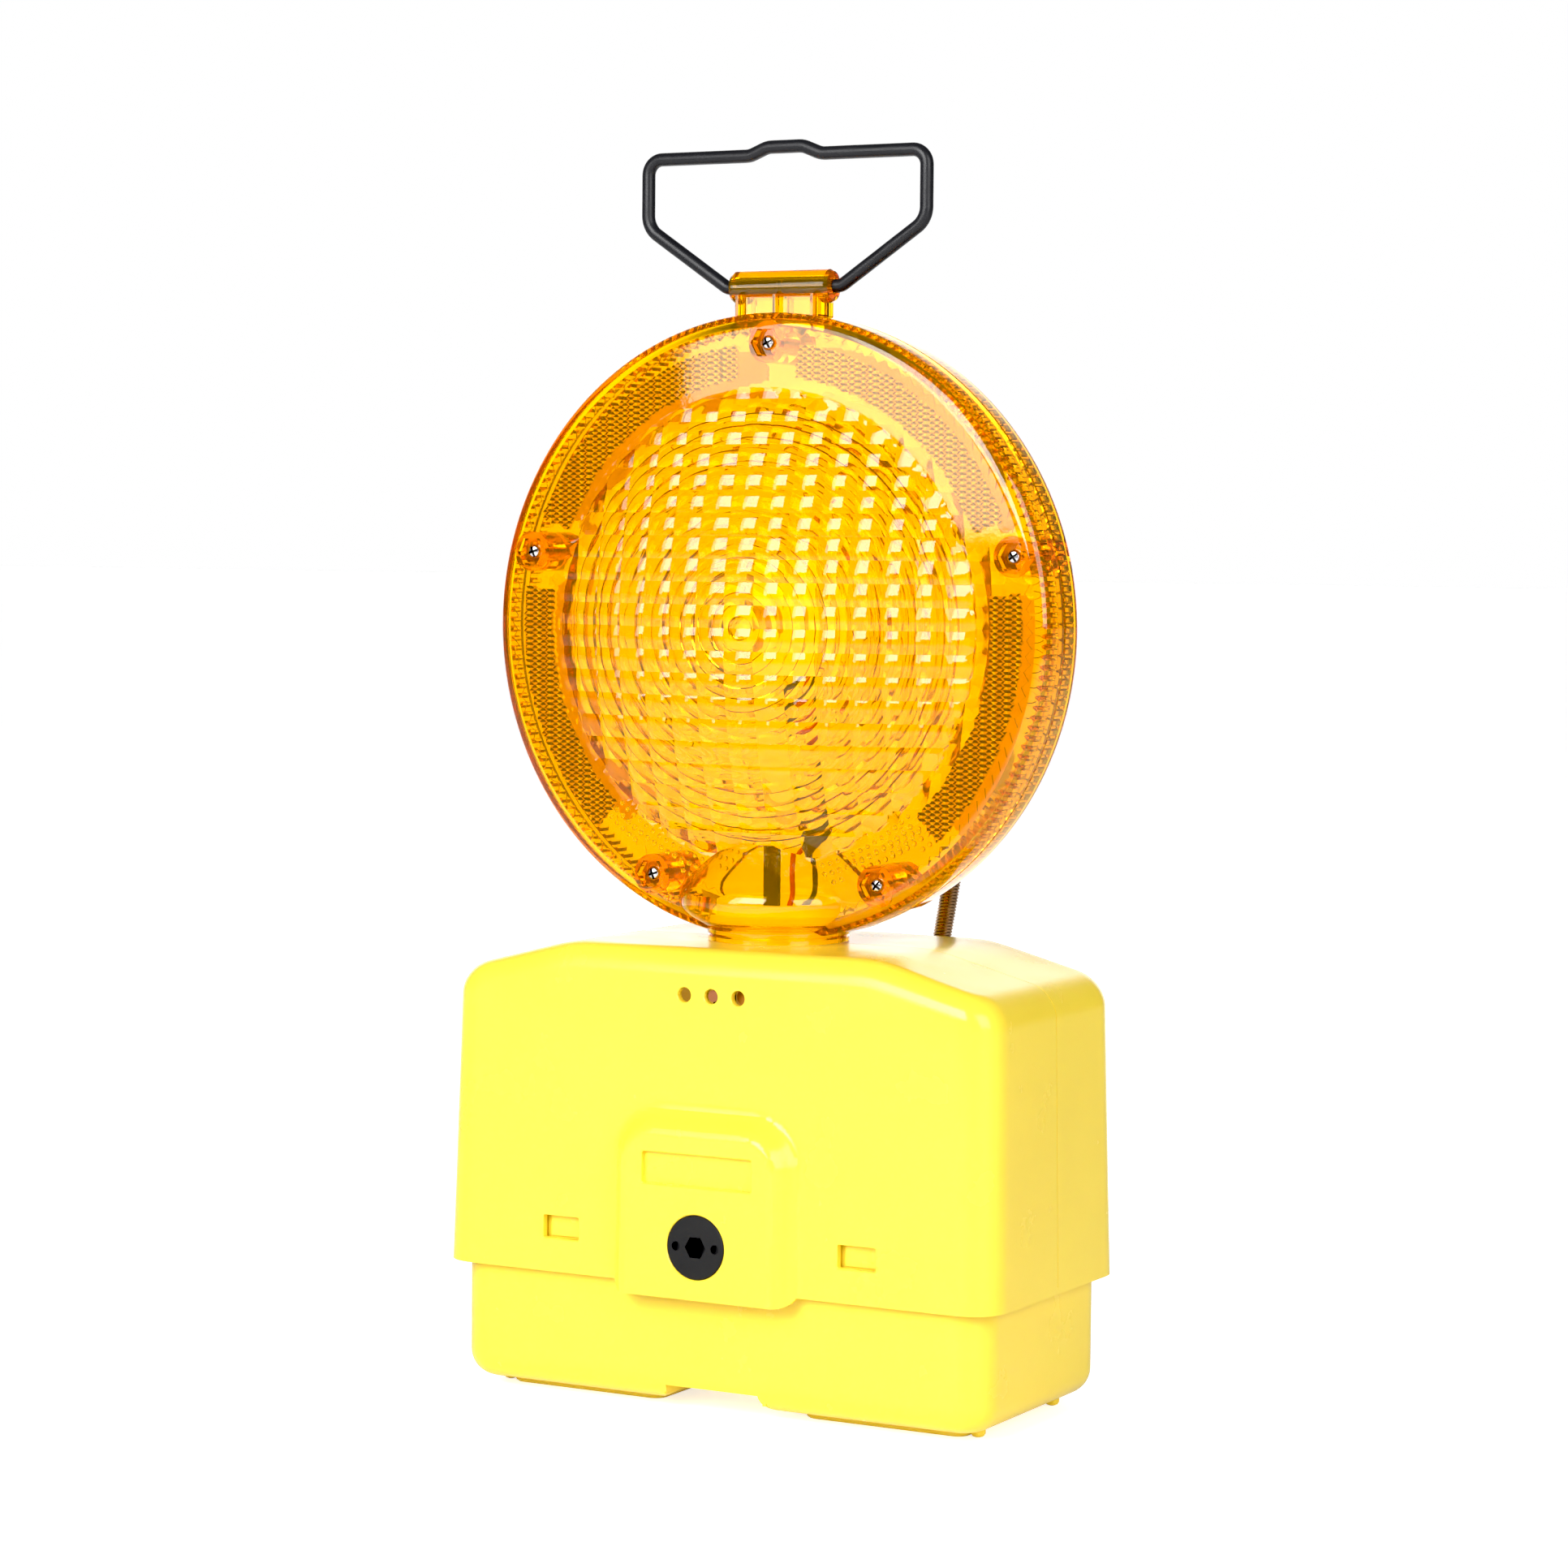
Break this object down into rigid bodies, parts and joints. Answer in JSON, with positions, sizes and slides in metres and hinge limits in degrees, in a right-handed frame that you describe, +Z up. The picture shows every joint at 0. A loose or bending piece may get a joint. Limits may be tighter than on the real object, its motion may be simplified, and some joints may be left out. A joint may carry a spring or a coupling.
{
  "type": "two-sided warning lamp",
  "caption": "Round two-sided amber warning lamp with a folding wire handle, on a yellow battery case with a lock and a swing bolt behind.",
  "frame": {"origin": "centre of the battery case on the ground plane", "axes": "+Z up, +X along the case's width, -Y towards the face with the lock"},
  "size_m": [0.186, 0.1285, 0.3752],
  "materials": {
    "yellow_shell": "glossy moulded yellow plastic",
    "amber_lens": "clear amber moulded plastic, polished",
    "reflex_prism": "amber prismatic retroreflector",
    "black_wire_coat": "satin black plastic coat on steel wire",
    "black_plastic": "moulded black plastic",
    "screw_chrome": "bright plated",
    "bolt_steel": "bronze passivated thread",
    "zinc_steel": "zinc plated",
    "seal_rubber": "matte rubber",
    "battery_jacket": "printed-free blue jacket",
    "brass_contact": "plated brass",
    "green_board": "solder mask",
    "white_board": "white solder mask",
    "dark_board": "dark laminate",
    "dark_component": "moulded component body",
    "sensor_window": "tinted sensor face",
    "button_brown": "moulded brown plastic",
    "emitter": "phosphor and clear silicone dome",
    "red_insulation": "PVC insulation",
    "black_insulation": "PVC insulation"
  },
  "bodies": {
    "base": {"base_tray": "yellow_shell", "case_gasket": "seal_rubber", "battery_left": "battery_jacket", "battery_right": "battery_jacket", "battery_springs": "brass_contact"},
    "cover": {"top_cover": "yellow_shell", "neck_seal": "seal_rubber", "contact_carrier": "black_plastic", "contact_strips": "brass_contact", "control_board": "green_board", "board_parts": "dark_component", "photocell": "sensor_window", "board_screws": "zinc_steel", "red_lead": "red_insulation", "black_lead": "black_insulation", "pivot_pin": "zinc_steel"},
    "lock": {"lock_screw": "black_plastic", "lock_cam": "zinc_steel", "lock_clip": "zinc_steel"},
    "button": {"mode_button": "button_brown"},
    "head": {"lens_front": "amber_lens", "lens_back": "amber_lens", "reflex_front": "reflex_prism", "reflex_back": "reflex_prism", "lens_screws": "screw_chrome", "led_board": "white_board", "led_mast": "dark_board", "leds": "emitter", "red_wire": "red_insulation", "black_wire": "black_insulation"},
    "bail": {"handle": "black_wire_coat"},
    "bolt": {"fixing_bolt": "bolt_steel", "bolt_washer": "zinc_steel"},
    "nut": {"wing_nut": "zinc_steel"}
  },
  "joints": [
    {"name": "cover_lift", "type": "slide", "parent": "base", "child": "cover", "axis": [0, 0, 1], "range_m": [0, 0.13]},
    {"name": "lock_turn", "type": "hinge", "parent": "cover", "child": "lock", "pos_m": [0, -0.04, 0.0513], "axis": [0, 1, 0], "range_deg": [0, 90]},
    {"name": "mode_press", "type": "slide", "parent": "cover", "child": "button", "axis": [0, 1, 0], "range_m": [0, 0.0008], "stiffness_N_per_m": 400},
    {"name": "head_swivel", "type": "hinge", "parent": "cover", "child": "head", "pos_m": [0, -0.002, 0.14], "axis": [0, 0, 1], "range_deg": [-90, 90]},
    {"name": "handle_fold", "type": "hinge", "parent": "head", "child": "bail", "pos_m": [0, -0.002, 0.3318], "axis": [1, 0, 0], "range_deg": [-110, 110]},
    {"name": "bolt_swing", "type": "hinge", "parent": "cover", "child": "bolt", "pos_m": [0.0207, 0.0525, 0.096], "axis": [1, 0, 0], "range_deg": [-100, 15]},
    {"name": "nut_spin", "type": "hinge", "parent": "bolt", "child": "nut", "pos_m": [0.0207, 0.05934, 0.11479], "axis": [0, 0.342, 0.9397], "continuous": true}
  ]
}
